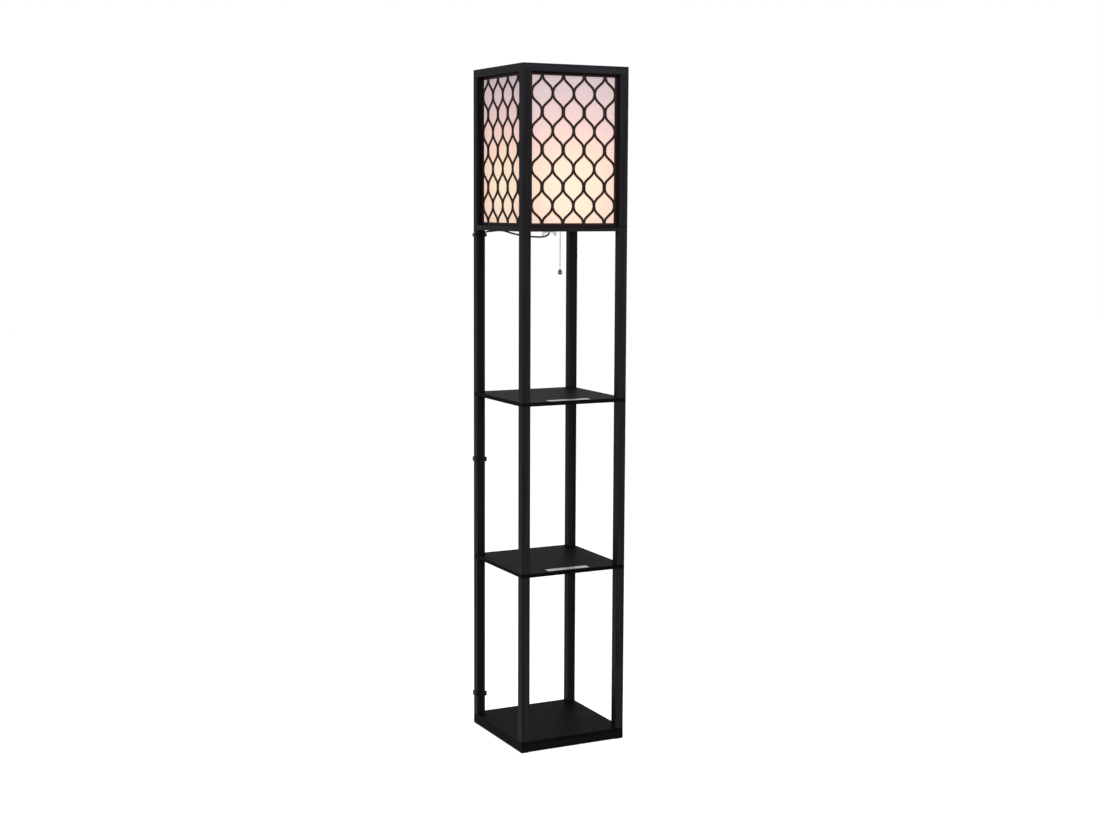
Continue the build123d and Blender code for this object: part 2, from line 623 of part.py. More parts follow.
# --- Cord -----------------------------------------------------------------------------------------
# From the nipple it turns at once towards the rear left post, comes out under the ring, turns down
# behind the post and is clipped there as far as the floor. The rest is a tied hank behind the base.
hank_pitch = 2 * CORD_RADIUS + HANK_GAP
hank_low = TIE_WALL + SWING_GAP + CORD_RADIUS
hank_high = hank_low + hank_pitch
hank_out = HANK_INNER + HANK_TURNS * hank_pitch
hank_y = half + HANK_STAND_OFF + CORD_RADIUS + hank_out
hank_start = Vector(HANK_X - HANK_RUN / 2, hank_y - hank_out, hank_low)
at_socket = [(0, 0, -1), (0, 0, -7), (-2.7, 3.1, -12.8), (-8, 9.1, -16.4), (-19.5, 22.2, -17)]
at_post = [
    (86.5, -81, -14.5), (63.5, -54, -10.8), (42.5, -29, -7.8), (28.5, -8.5, -5.8), (22.5, 5.5, -5),
    EYE_ENTRY, EYE_EXIT, (1, 19, -34),
]
upper_bow = [
    (-0.5, 16), (-0.3, 17.1), (0, 18.7), (0.3, 20.1), (0.5, 20.8), (0.5, 20.7), (0.3, 19.7),
    (0.1, 18.1), (0, 15.9),
]
lower_bow = [
    (-0.1, 15.8), (-0.2, 17.9), (-0.4, 19.5), (-0.5, 20.5), (-0.5, 20.9), (-0.4, 20.5), (-0.3, 19.4),
    (-0.1, 17.7), (0, 15.8),
]
at_floor = [(0.1, 15.4, 46), (1.9, 17.1, 28), (8, 19.1, 13.5), (20.5, 18.9, 5.6), (37, 15.6, 3.4)]


def bow(high, low, stand_off):
    """Evenly spaced points down the post, each at its own distance behind the post's axis."""
    steps = len(stand_off) - 1
    return [
        (post_x + x, post_y + y, high + (low - high) * i / steps) for i, (x, y) in enumerate(stand_off)
    ]


def through_eye(middle, above, below):
    """Two points in line with a clip's eye."""
    return [(post_x, cord_line_y, middle + above), (post_x, cord_line_y, middle - below)]


middle_clip, bottom_clip = clip_middles["clip_middle"], clip_middles["clip_bottom"]
route = [(x, y, ring_z + z) for x, y, z in at_socket]
route += [(post_x + x, post_y + y, ring_z + z) for x, y, z in at_post]
route += bow(ring_z - UPPER_BOW_DROP, middle_clip + BOW_END, upper_bow)
route += through_eye(middle_clip, EYE_STRAIGHT, EYE_STRAIGHT)
route += bow(middle_clip - BOW_END, bottom_clip + LOWER_BOW_END, lower_bow)
route += through_eye(bottom_clip, 2 * EYE_STRAIGHT, CORD_RADIUS)
route += [(post_x + x, post_y + y, z) for x, y, z in at_floor]
route += [tuple(hank_start)]


def corner_radii(points):
    """The largest arcs that the runs of a route leave room for."""
    ways = [Vector(*b) - Vector(*a) for a, b in zip(points, points[1:])]
    return [
        BEND_SHARE * min(p.length, q.length) / tan(radians(p.get_angle(q)) / 2)
        for p, q in zip(ways, ways[1:])
    ]


radii = corner_radii(route)
print("cord radii", [round(r, 1) for r in radii])
with BuildPart() as cord_stretch:
    with BuildLine() as cord_line:
        FilletPolyline(*route, radius=radii)
    with BuildSketch(Plane(origin=route[0], z_dir=(0, 0, -1))):
        Circle(CORD_RADIUS)
    sweep()
stretch_length = cord_line.wire().length
cord_area = pi * CORD_RADIUS**2
print("cord stretch", round(stretch_length, 1), cord_stretch.part.volume / (cord_area * stretch_length))
save("cord_stretch", cord_stretch.part)

plug_axis = PLUG_TALL / 2
plug_y = half + PLUG_STAND_OFF + PLUG_WIDTH / 2
tail_level = HANK_X + HANK_RUN / 2 + TAIL_LEVEL
tail_end = tail_level + TAIL_DROP


def hank_arc(side, low, high, z):
    """One end loop of the hank, a half turn from y = low to y = high."""
    a = Vector(HANK_X + side * HANK_RUN / 2, hank_y + low, z)
    b = Vector(HANK_X + side * HANK_RUN / 2, hank_y + high, z)
    middle = (a + b) / 2 + Vector(side * abs(high - low) / 2, 0, 0)
    return ThreePointArc(a, middle, b)


def easy_step(a, b):
    """Two tangent arcs that carry the cord from one level to another along X."""
    middle = (a + b) / 2
    TangentArc(a, middle, tangent=(1, 0, 0))
    TangentArc(b, middle, tangent=(-1, 0, 0))


with BuildPart() as cord_hank:
    with BuildLine() as hank_line:
        steps = []
        for turn in range(HANK_TURNS, 0, -1):
            wide_end, next_end = HANK_INNER + turn * hank_pitch, HANK_INNER + (turn - 1) * hank_pitch
            steps += [(1, -wide_end, next_end, hank_low), (-1, next_end, -next_end, hank_low)]
        for turn in range(HANK_TURNS):
            this_end, wide_end = HANK_INNER + turn * hank_pitch, HANK_INNER + (turn + 1) * hank_pitch
            steps += [(1, -this_end, this_end, hank_high), (-1, this_end, -wide_end, hank_high)]
        here = hank_start
        for side, low, high, z in steps:
            run_end = Vector(HANK_X + side * HANK_RUN / 2, hank_y + low, z)
            if abs(z - here.Z) > HANK_GAP:
                easy_step(here, run_end)
            else:
                Line(here, run_end)
            hank_arc(side, low, high, z)
            here = Vector(HANK_X + side * HANK_RUN / 2, hank_y + high, z)
        level_end = Vector(tail_level, here.Y, hank_high)
        Line(here, level_end)
        easy_step(level_end, Vector(tail_end, plug_y, plug_axis))
    with BuildSketch(Plane(origin=hank_start, z_dir=(1, 0, 0))):
        Circle(CORD_RADIUS)
    sweep()
hank_length = hank_line.wire().length
print("hank", round(hank_length, 1), cord_hank.part.volume / (cord_area * hank_length))
print("whole cord", round(stretch_length + hank_length, 1))
save("cord_hank", cord_hank.part)

samples = 1200
spots = [tuple(hank_line.wire() @ (i / samples)) for i in range(samples + 1)]
skip = int(3 * hank_pitch * samples / hank_length)     # neighbours along the cord itself
least = min(dist(a, b) for i, a in enumerate(spots) for b in spots[i + skip:])
print("least gap between turns", round(least - 2 * CORD_RADIUS, 2))

tie_low_y = hank_y - hank_out - CORD_RADIUS - SWING_GAP
tie_high_y = hank_y + hank_out - hank_pitch + CORD_RADIUS + SWING_GAP
tie_inside_z = hank_high + CORD_RADIUS + SWING_GAP - TIE_WALL
with BuildPart() as hank_tie:
    with BuildSketch(Plane.YZ.offset(HANK_X)):
        with Locations(((tie_low_y + tie_high_y) / 2, TIE_WALL + tie_inside_z / 2)):
            RectangleRounded(
                tie_high_y - tie_low_y + 2 * TIE_WALL, tie_inside_z + 2 * TIE_WALL, 2 * TIE_WALL
            )
            RectangleRounded(tie_high_y - tie_low_y, tie_inside_z, TIE_WALL, mode=Mode.SUBTRACT)
    extrude(amount=TIE_WIDTH / 2, both=True)
save("hank_tie", hank_tie.part)

# --- Plug -----------------------------------------------------------------------------------------
plug_x = tail_end + PLUG_TAIL
with BuildPart() as plug_body:
    with BuildSketch(Plane(origin=(tail_end, plug_y, plug_axis), z_dir=(1, 0, 0))):
        Circle(TAIL_RADIUS)
    with BuildSketch(Plane(origin=(plug_x, plug_y, plug_axis), z_dir=(1, 0, 0))):
        Circle(TAIL_ROOT_RADIUS)
    loft()
    with Locations((plug_x + PLUG_LENGTH / 2, plug_y, plug_axis)):
        Box(PLUG_LENGTH, PLUG_WIDTH, PLUG_TALL)
    fillet(plug_body.edges().filter_by(Axis.X).group_by(SortBy.LENGTH)[-1], PLUG_ROUND)
save("plug_body", plug_body.part)

with BuildPart() as plug_blades:
    with Locations((plug_x + PLUG_LENGTH, plug_y, plug_axis)):
        with Locations((0, -BLADE_SPACING / 2, 0), (0, BLADE_SPACING / 2, 0)):
            Box(BLADE_LENGTH, BLADE_THICK, BLADE_WIDTH, align=(Align.MIN, Align.CENTER, Align.CENTER))
save("plug_blades", plug_blades.part)

# --- Blank strips ---------------------------------------------------------------------------------
with BuildPart() as blank_strips:
    for z in (lower_shelf_z + SHELF, upper_shelf_z + SHELF):
        with Locations((STRIP_SHIFT, -half + STRIP_INSET + STRIP_WIDTH / 2, z)):
            Box(STRIP_LENGTH, STRIP_WIDTH, STRIP_THICK, align=UP)
save("blank_strips", blank_strips.part)

print(len(pieces), "nodes, height", height)
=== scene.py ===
# %% [markdown]
# # A shelf floor lamp
# The solid parts of the lamp come from its CAD model, which is the frame of this scene. Everything
# that is soft, woven, glowing or finely finished is made here and rides on that frame. Lengths are
# metres, +Z is up, the lamp's front looks along -Y and its middle stands at the origin.

# %% The frame
import math
import bmesh
import bpy
from mathutils import Matrix, Vector


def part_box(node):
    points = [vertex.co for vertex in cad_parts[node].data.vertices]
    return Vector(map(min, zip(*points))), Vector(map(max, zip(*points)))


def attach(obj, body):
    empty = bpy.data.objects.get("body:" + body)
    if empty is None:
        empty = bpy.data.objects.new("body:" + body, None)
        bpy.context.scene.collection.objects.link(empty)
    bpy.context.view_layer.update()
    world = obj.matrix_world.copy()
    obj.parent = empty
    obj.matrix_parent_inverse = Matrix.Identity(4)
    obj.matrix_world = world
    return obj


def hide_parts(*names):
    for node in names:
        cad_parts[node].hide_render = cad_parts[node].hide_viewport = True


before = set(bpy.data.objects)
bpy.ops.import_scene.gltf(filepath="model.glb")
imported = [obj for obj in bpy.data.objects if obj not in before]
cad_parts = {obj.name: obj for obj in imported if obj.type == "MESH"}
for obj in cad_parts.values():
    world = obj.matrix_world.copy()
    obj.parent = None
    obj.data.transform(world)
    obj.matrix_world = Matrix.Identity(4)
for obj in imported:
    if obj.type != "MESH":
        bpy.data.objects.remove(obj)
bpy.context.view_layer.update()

# %% [markdown]
# ## Small helpers
# Blender stores colours as linear light, while a paint chart or a photograph gives them as sRGB, so
# one function turns a hex value into linear numbers. A second one adds a node to a tree together
# with its settings and its links, which keeps each material short enough to read in one look. The
# rest are the steps that most finishes here share: a place on the piece, two close colours, a range
# of roughness and a shallow relief.

# %% Colours and nodes
MM = 0.001


def linear(code):
    """An sRGB hex colour as the four linear numbers that Blender works with."""
    parts = [int(code[i:i + 2], 16) / 255 for i in (1, 3, 5)]
    return [c / 12.92 if c <= 0.04045 else ((c + 0.055) / 1.055) ** 2.4 for c in parts] + [1.0]


def add(tree, kind, inputs=(), **settings):
    """Add a node. A socket among its inputs is linked, and any other value is set."""
    node = tree.nodes.new(kind)
    for name, value in settings.items():
        setattr(node, name, value)
    for key, value in dict(inputs).items():
        if isinstance(value, bpy.types.NodeSocket):
            tree.links.new(value, node.inputs[key])
        else:
            node.inputs[key].default_value = value
    return node


def material(name, **values):
    """A new material with one surface shader, whose constants are set on its own sockets."""
    made = bpy.data.materials.new(name)
    made.use_nodes = True
    made.node_tree.nodes.clear()
    shader = add(made.node_tree, "ShaderNodeBsdfPrincipled", values)
    add(made.node_tree, "ShaderNodeOutputMaterial", {"Surface": shader.outputs[0]})
    return made, made.node_tree, shader


def on_piece(tree):
    """The place on the piece itself, so that a pattern stays with it when it moves."""
    return add(tree, "ShaderNodeTexCoord").outputs["Object"]


def paint(tree, shader, factor, dark, pale):
    """Let the base colour go from dark to pale with a factor."""
    colour = add(tree, "ShaderNodeMix", {
        "Factor": factor, 6: linear(dark), 7: linear(pale)}, data_type="RGBA")
    tree.links.new(colour.outputs[2], shader.inputs["Base Color"])


def roughen(tree, shader, factor, smoothest, roughest):
    """Let the roughness go from one value to another with a factor."""
    rough = add(tree, "ShaderNodeMapRange", {
        "Value": factor, "To Min": smoothest, "To Max": roughest})
    tree.links.new(rough.outputs[0], shader.inputs["Roughness"])


def emboss(tree, shader, height, strength, depth):
    """Press a height pattern into the surface, up to a depth in metres."""
    relief = add(tree, "ShaderNodeBump", {
        "Height": height, "Strength": strength, "Distance": depth})
    tree.links.new(relief.outputs[0], shader.inputs["Normal"])


def dress(finish, *names):
    """Give CAD nodes their material. Their shape is left alone."""
    for name in names:
        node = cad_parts[name]
        node.data.materials.clear()
        node.data.materials.append(finish)
    print(finish.name, "on", len(names), "nodes")


def named(*starts):
    """The CAD nodes whose names start with one of these words."""
    return [n for n in sorted(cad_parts) if n.startswith(starts)]


# %% [markdown]
# ## The camera
# The photographer stood to the left of the lamp, with the lens at the height of its shade. The
# camera here was found by matching the corners of the shelves. It is tilted down slightly, and its
# lens is long enough that the posts stay almost parallel.

# %% Camera
LENS, SENSOR, SHIFT = 56.16, 36.0, -0.015
STAND = (-1.84104, -3.65647, 1.28934)
YAW, TILT, ROLL = 0.46723, 0.11252, 0.00417
camera_data = bpy.data.cameras.new("camera")
camera_data.lens = LENS
camera_data.sensor_width = SENSOR
camera_data.shift_y = SHIFT
camera_data.clip_start = 0.05
camera_data.clip_end = 60.0
camera = bpy.data.objects.new("camera", camera_data)
bpy.context.scene.collection.objects.link(camera)
ahead = Vector((math.sin(YAW) * math.cos(TILT), math.cos(YAW) * math.cos(TILT), -math.sin(TILT)))
level = Vector((math.cos(YAW), -math.sin(YAW), 0.0))
upward = level.cross(ahead)
right = level * math.cos(ROLL) + upward * math.sin(ROLL)
top = upward * math.cos(ROLL) - level * math.sin(ROLL)
turn = Matrix((right, top, -ahead)).transposed().to_4x4()
camera.matrix_world = Matrix.Translation(STAND) @ turn
bpy.context.scene.camera = camera
bpy.context.scene.view_settings.view_transform = "Standard"
print("camera at", tuple(round(c, 3) for c in camera.location), "lens", camera_data.lens)

# %% [markdown]
# ## The cord
# A lamp lead of this kind is two stranded copper wires in round, soft black PVC, 4.2 mm across. It
# turns out of the socket under the ring, is clipped down the rear left post and ends in a tied hank
# behind the base. A flexible cord is best drawn as one smooth curve with few points: a NURBS curve
# of third order bends evenly between them, as PVC does, and a round bevel gives it its thickness.
# The bevel is a full unit and each point's own radius is that of the cord, because the box of a
# curve reaches one point radius past its points.

# %% The points of the lead, in millimetres
ROUTE = [
    (0, 0, 1220), (0, 0, 1214.8), (-3.2, 3.6, 1209.2), (-9.5, 10.8, 1205.9), (-20, 22.8, 1205.2),
    (-39, 44.5, 1206.8), (-62, 71.5, 1212.5), (-80, 93, 1221.2), (-97, 117, 1217.9),
    (-103, 131, 1217), (-110, 144, 1211.5), (-118.5, 147, 1200), (-124.5, 144.5, 1187),
    (-126, 141.5, 1164), (-125.8, 142.6, 1108.9), (-125.5, 144.2, 1053.8), (-125.2, 145.6, 998.6),
    (-125, 146.3, 943.5), (-125, 146.2, 888.4), (-125.2, 145.2, 833.3), (-125.4, 143.6, 778.1),
    (-125.5, 141.4, 723), (-125.5, 140.3, 692), (-125.5, 140.3, 636), (-125.6, 141.3, 605),
    (-125.7, 143.4, 549.1), (-125.9, 145, 493.3), (-126, 146, 437.4), (-126, 146.4, 381.5),
    (-125.9, 146, 325.6), (-125.8, 144.9, 269.8), (-125.6, 143.2, 213.9), (-125.5, 141.3, 158),
    (-125.5, 140.3, 133), (-125.5, 140.3, 74.9), (-125.4, 140.9, 46), (-123.6, 142.6, 28),
    (-117.5, 144.6, 13.5), (-105, 144.4, 5.6), (-88.5, 141.1, 3.4),
]
HANK_X, HANK_Y, HANK_HALF_RUN = -40.0, 161.0, 30.0
LOW, HIGH = 3.4, 8.1


def loop_end(side, start, end, height, half_step=15):
    """Control points of a half turn of the hank: corners of a polygon drawn round its arc."""
    middle, radius = (start + end) / 2, abs(end - start) / 2
    reach = radius / math.cos(math.radians(half_step))
    way = 1 if end > start else -1
    spots = []
    for degrees in range(half_step - 90, 90, 2 * half_step):
        angle = math.radians(degrees)
        spots.append((
            HANK_X + side * (HANK_HALF_RUN + reach * math.cos(angle)),
            HANK_Y + middle + way * reach * math.sin(angle), height,
        ))
    return spots


# Two turns wind inwards on the floor, and two turns wind outwards on top of them.
hank = [(-70, 141.1, LOW)]
for side, start, end in ((1, -19.9, 15.2), (-1, 15.2, -15.2), (1, -15.2, 10.5), (-1, 10.5, -10.5)):
    hank += loop_end(side, start, end, LOW)
hank += [(-60, 150.5, LOW), (-50, 150.5, 4.0), (-40, 150.5, 5.75), (-30, 150.5, 7.5)]
hank.append((-20, 150.5, HIGH))
for side, start, end in ((1, -10.5, 10.5), (-1, 10.5, -15.2), (1, -15.2, 15.2), (-1, 15.2, -19.9)):
    hank += loop_end(side, start, end, HIGH)
# The end comes down from the upper turns into the plug.
hank += [(-40, 141.1, HIGH), (-6, 141.1, HIGH), (8, 141.1, HIGH), (20, 145, 7.6)]
hank += [(27, 150.5, 6.4), (30.5, 150.5, 6.3), (34, 150.5, 6.3)]
print("lead:", len(ROUTE), "points down the post,", len(hank), "points in the hank")

# %% The lead as one curve
CORD_DIAMETER = 4.2 * MM
lead_curve = bpy.data.curves.new("lead", "CURVE")
lead_curve.dimensions = "3D"
spline = lead_curve.splines.new("NURBS")
points = [Vector(p) * MM for p in ROUTE + hank]
spline.points.add(len(points) - 1)
for point, place in zip(spline.points, points):
    point.co = (*place, 1.0)
    point.radius = CORD_DIAMETER / 2
spline.order_u = 3
spline.use_endpoint_u = True
spline.resolution_u = 6
lead_curve.bevel_depth = 1.0
lead_curve.bevel_resolution = 4
lead_curve.use_fill_caps = True
lead = bpy.data.objects.new("lead", lead_curve)
bpy.context.scene.collection.objects.link(lead)
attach(lead, "tower")
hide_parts("cord_stretch", "cord_hank")
print("lead of", len(points), "points,", CORD_DIAMETER / MM, "mm thick")

# %% [markdown]
# ## Black foiled board
# The posts, shelves and frames are medium-density fibreboard wrapped in a printed, near-black wood
# foil. The foil is satin, with a faint grain pressed into it along each length, and the eye reads
# it as black wood only where light grazes it. A noise stretched along the grain gives both the
# slight change of tone and the shallow relief. Posts carry it upright, boards carry it level, and
# on the frames it turns at mitred corners. The boards and the base are a shade darker and duller
# than the rest: the darker colour is painted shade on the same foil, and the duller gloss is a
# lower specular level, so one recipe makes four materials. The pores are 0.6 mm wide here, coarser
# than the real 0.2 mm, or the render would lose them.

# %% A recipe for the foil
PORE, STRETCH = 0.6 * MM, 60.0
ROUGHEST = 0.58


def foil(name, along, dark="#0b0a0c", pale="#211f23", mitred=False, specular=0.03, smoothest=0.34):
    """Black wood foil with grain along axis 0, 1 or 2, or round a frame with mitred corners."""
    made, tree, shader = material(name, **{"Specular IOR Level": specular})
    place = on_piece(tree)
    if mitred:
        x, y, z = add(tree, "ShaderNodeSeparateXYZ", {0: place}).outputs
        from_middle = [add(tree, "ShaderNodeMath", {0: value}, operation="ABSOLUTE").outputs[0]
                       for value in (x, y)]
        on_side_rail = add(
            tree, "ShaderNodeMath", dict(enumerate(from_middle)), operation="GREATER_THAN")
        swapped = add(tree, "ShaderNodeCombineXYZ", {0: y, 1: x, 2: z})
        place = add(tree, "ShaderNodeMix", {
            "Factor": on_side_rail.outputs[0], 4: place, 5: swapped.outputs[0]},
            data_type="VECTOR").outputs[1]
    scale = [1 / (4 * PORE)] * 3
    scale[along] /= STRETCH
    grain_place = add(tree, "ShaderNodeMapping", {"Vector": place, "Scale": scale})
    grain = add(tree, "ShaderNodeTexNoise", {
        "Vector": grain_place.outputs[0], "Scale": 1.0, "Detail": 5.0, "Roughness": 0.65})
    broad = add(tree, "ShaderNodeTexNoise", {
        "Vector": grain_place.outputs[0], "Scale": 0.12, "Detail": 2.0, "Roughness": 0.5})
    both = add(tree, "ShaderNodeMath", {
        0: grain.outputs[0], 1: broad.outputs[0]}, operation="ADD")
    tone = add(tree, "ShaderNodeMapRange", {
        "Value": both.outputs[0], "From Min": 0.75, "From Max": 1.3})
    paint(tree, shader, tone.outputs[0], dark, pale)
    roughen(tree, shader, tone.outputs[0], smoothest, ROUGHEST)
    emboss(tree, shader, grain.outputs[0], 0.4, 0.15 * MM)
    return made


# %% Posts, boards and frames
# The darker colours of the boards, the crossbar and the base are painted shade on the same foil.
painted_shade_and_duller = {"dark": "#060506", "specular": 0.012, "smoothest": 0.5}
upright_foil = foil("black_wood_foil_upright", 2)
frame_foil = foil("black_wood_foil_frame", 0, mitred=True)
board_foil_painted_shade = foil("black_wood_foil_board_painted_shade", 0, pale="#0d0c0d", **painted_shade_and_duller)
base_foil_painted_shade = foil("black_wood_foil_base_painted_shade", 0, pale="#131213", mitred=True, **painted_shade_and_duller)
dress(upright_foil, *named("post_", "shade_post_"))
dress(frame_foil, "shade_ring", "top_frame")
dress(base_foil_painted_shade, "base_frame")
dress(board_foil_painted_shade, "base_board", "shelf_lower", "shelf_upper", "crossbar")

# %% [markdown]
# ## The lattice
# Each side of the shade is a thin fibreboard panel that a router has cut into rows of ogees, wavy
# lines that meet at necks. All its lines are one S curve, repeated: it leaves a wide neck upright,
# leans over by 49 degrees and bends back into a narrow neck, where two lines only touch. A shape
# with such a rule suits Geometry Nodes, because the tree holds the rule and its inputs hold the
# sizes. The tree draws the S from arcs as one line, copies and mirrors it, gives it a flat profile
# with softened edges and adds the border.

# %% The S curve of a lattice line
PITCH, HALF_REPEAT, STROKE = 54.0 * MM, 42.6 * MM, 5.4 * MM
LEAN = math.radians(49.0)
WIDE_NECK, NARROW_NECK, WIDE_FLAT, WIDE_SHARE = 8.2 * MM, 6.3 * MM, 3.0 * MM, 0.44
rise = HALF_REPEAT - WIDE_FLAT
swing = PITCH / 2 + STROKE - WIDE_NECK / 2 - NARROW_NECK / 2
bends = (rise * math.sin(LEAN) - swing * math.cos(LEAN)) / (1 - math.cos(LEAN))
wide_bend, narrow_bend = bends * WIDE_SHARE, bends * (1 - WIDE_SHARE)
from_wide, from_narrow = (WIDE_NECK - STROKE) / 2, (NARROW_NECK - STROKE) / 2


def s_curve(steps=7):
    """Points of one S, from the middle of a wide neck up to the middle of a narrow one."""
    spots = [(from_wide, 0.0)]
    for step in range(steps + 1):
        angle = LEAN * step / steps
        spots.append((from_wide + wide_bend * (1 - math.cos(angle)),
                      WIDE_FLAT + wide_bend * math.sin(angle)))
    for step in range(steps + 1):
        angle = LEAN * (1 - step / steps)
        spots.append((PITCH / 2 - from_narrow - narrow_bend * (1 - math.cos(angle)),
                      HALF_REPEAT - narrow_bend * math.sin(angle)))
    return spots


print("bends of", round(wide_bend / MM, 1), "and", round(narrow_bend / MM, 1), "mm")

# %% A tree with named inputs, and a piece grown by it
def new_tree(name, sizes):
    """An empty Geometry Nodes tree with an input for each named size, and its input sockets."""
    tree = bpy.data.node_groups.new(name, "GeometryNodeTree")
    tree.interface.new_socket("Geometry", in_out="INPUT", socket_type="NodeSocketGeometry")
    for label, value in sizes.items():
        kind = "NodeSocketInt" if isinstance(value, int) else "NodeSocketFloat"
        tree.interface.new_socket(label, in_out="INPUT", socket_type=kind)
    tree.interface.new_socket("Geometry", in_out="OUTPUT", socket_type="NodeSocketGeometry")
    return tree, tree.nodes.new("NodeGroupInput").outputs


def finish_tree(tree, geometry, finish):
    """End a tree: real mesh instead of instances, then its material."""
    real = add(tree, "GeometryNodeRealizeInstances", {0: geometry})
    painted = add(tree, "GeometryNodeSetMaterial", {
        "Geometry": real.outputs[0], "Material": finish})
    add(tree, "NodeGroupOutput", {0: painted.outputs[0]})


def grow(name, seed_mesh, tree, sizes, body, slot, *nodes):
    """Run a tree on a mesh, keep the result as a plain mesh and let it ride on a body.

    It stands for the CAD nodes that are named, if there are any.
    """
    piece = bpy.data.objects.new(name, seed_mesh)
    bpy.context.scene.collection.objects.link(piece)
    modifier = piece.modifiers.new("tree", "NODES")
    modifier.node_group = tree
    for item in tree.interface.items_tree:
        if item.in_out == "INPUT" and item.name in sizes:
            modifier[item.identifier] = sizes[item.name]
    graph = bpy.context.evaluated_depsgraph_get()
    mesh = bpy.data.meshes.new_from_object(piece.evaluated_get(graph), depsgraph=graph)
    piece.modifiers.clear()
    piece.data = mesh
    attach(piece, body)
    if nodes:
        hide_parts(*nodes)
    print(name, len(mesh.polygons), "faces on", body)


def line_mesh(name, points):
    """A mesh of points joined by edges, the start of a curve in a tree."""
    mesh = bpy.data.meshes.new(name)
    mesh.from_pydata([tuple(p) for p in points], [(i, i + 1) for i in range(len(points) - 1)], [])
    return mesh


# %% [markdown]
# ### Its finish
# The board is sprayed with black lacquer. It is as dark as the posts but has no grain: it has a
# fine orange peel, about a millimetre from crest to crest, and soaks in here and there, so its
# gloss is a little patchy. Its base colour is a brown-black: the warm light of the cloth behind is
# painted into it.

# %% Sprayed lacquer
lacquer, tree, shader = material("sprayed_black_lacquer_painted_warm", **{"Specular IOR Level": 0.08})
# The brown in this black is painted warm light from the glowing cloth behind.
shader.inputs["Base Color"].default_value = linear("#1b110d")
place = on_piece(tree)
peel = add(tree, "ShaderNodeTexNoise", {"Vector": place, "Scale": 1 / MM, "Detail": 2.0})
patches = add(tree, "ShaderNodeTexNoise", {"Vector": place, "Scale": 30.0, "Detail": 2.0})
roughen(tree, shader, patches.outputs[0], 0.42, 0.60)
emboss(tree, shader, peel.outputs[0], 0.2, 0.1 * MM)
print("lacquer:", len(tree.nodes), "nodes")

# %% The tree of the lattice
# Faces that lie in one plane would flicker, so strips and rails differ by these small steps.
THINNER, LOWERED, RAISED = 0.1 * MM, 0.04 * MM, 0.02 * MM
lattice_sizes = {
    "Columns": 4, "Pitch": PITCH, "Line Width": STROKE, "Thickness": 3.0 * MM,
    "Width": 230.0 * MM, "Height": 349.0 * MM, "Side Border": 8.0 * MM, "Sill": 7.0 * MM,
    "Middle Height": 1407.5 * MM, "Depth": 122.5 * MM, "Sides": 4,
}
tree, size = new_tree("ogee_lattice", lattice_sizes)
geometry, width, height = size["Geometry"], size["Width"], size["Height"]


def maths(operation, *values):
    """One arithmetic step in the tree that is being built."""
    return add(tree, "ShaderNodeMath", dict(enumerate(values)), operation=operation).outputs[0]


# A flat profile with softened edges, swept along the wavy line.
line_width, thickness = size["Line Width"], size["Thickness"]
profile = add(tree, "GeometryNodeCurvePrimitiveQuadrilateral", {
    "Width": line_width, "Height": maths("SUBTRACT", thickness, THINNER)})
soft_profile = add(tree, "GeometryNodeFilletCurve", {
    "Curve": profile.outputs[0], "Count": 2, "Radius": 0.45 * MM}, mode="POLY")
wavy = add(tree, "GeometryNodeMeshToCurve", {"Mesh": geometry})
flat_wavy = add(tree, "GeometryNodeSetCurveNormal", {"Curve": wavy.outputs[0]}, mode="Z_UP")
strip = add(tree, "GeometryNodeCurveToMesh", {
    "Curve": flat_wavy.outputs[0], "Profile Curve": soft_profile.outputs[0], "Fill Caps": True})
# One strip starts right of each wide neck, and one that is turned half round starts left of it.
columns, pitch_in = size["Columns"], size["Pitch"]
first = maths("MULTIPLY", maths("SUBTRACT", columns, 1), maths("MULTIPLY", pitch_in, -0.5))
start = add(tree, "ShaderNodeCombineXYZ", {"X": first})
step = add(tree, "ShaderNodeCombineXYZ", {"X": pitch_in})
necks = add(tree, "GeometryNodeMeshLine", {
    "Count": columns, "Start Location": start.outputs[0], "Offset": step.outputs[0]})
to_right = add(tree, "GeometryNodeInstanceOnPoints", {
    "Points": necks.outputs[0], "Instance": strip.outputs[0]})
to_left = add(tree, "GeometryNodeInstanceOnPoints", {
    "Points": necks.outputs[0], "Instance": strip.outputs[0], "Rotation": (0.0, math.pi, 0.0)})
lowered = add(tree, "GeometryNodeTransform", {
    "Geometry": to_left.outputs[0], "Translation": (0.0, 0.0, -LOWERED)})
# The border: four rails with the same soft edges, which overlap the strips' ends.
rails = []
for across, along, out, upward_rail in (
        (size["Side Border"], height, width, True), (size["Sill"], width, height, False)):
    rail_profile = add(tree, "GeometryNodeCurvePrimitiveQuadrilateral", {
        "Width": across, "Height": thickness})
    soft_rail = add(tree, "GeometryNodeFilletCurve", {
        "Curve": rail_profile.outputs[0], "Count": 2, "Radius": 0.3 * MM}, mode="POLY")
    ends = []
    for sign in (-0.5, 0.5):
        end = add(tree, "ShaderNodeCombineXYZ", {
            1 if upward_rail else 0: maths("MULTIPLY", along, sign)})
        ends.append(end.outputs[0])
    line = add(tree, "GeometryNodeCurvePrimitiveLine", {"Start": ends[0], "End": ends[1]})
    line = add(tree, "GeometryNodeSetCurveNormal", {"Curve": line.outputs[0]}, mode="Z_UP")
    rail = add(tree, "GeometryNodeCurveToMesh", {
        "Curve": line.outputs[0], "Profile Curve": soft_rail.outputs[0], "Fill Caps": True})
    for sign in (-0.5, 0.5):
        shift = add(tree, "ShaderNodeCombineXYZ", {
            0 if upward_rail else 1: maths("MULTIPLY", maths("SUBTRACT", out, across), sign),
            2: 0.0 if upward_rail else RAISED})
        moved = add(tree, "GeometryNodeTransform", {
            "Geometry": rail.outputs[0], "Translation": shift.outputs[0]})
        rails.append(moved.outputs[0])
panel = add(tree, "GeometryNodeJoinGeometry")
for part in [to_right.outputs[0], lowered.outputs[0]] + rails:
    tree.links.new(part, panel.inputs[0])
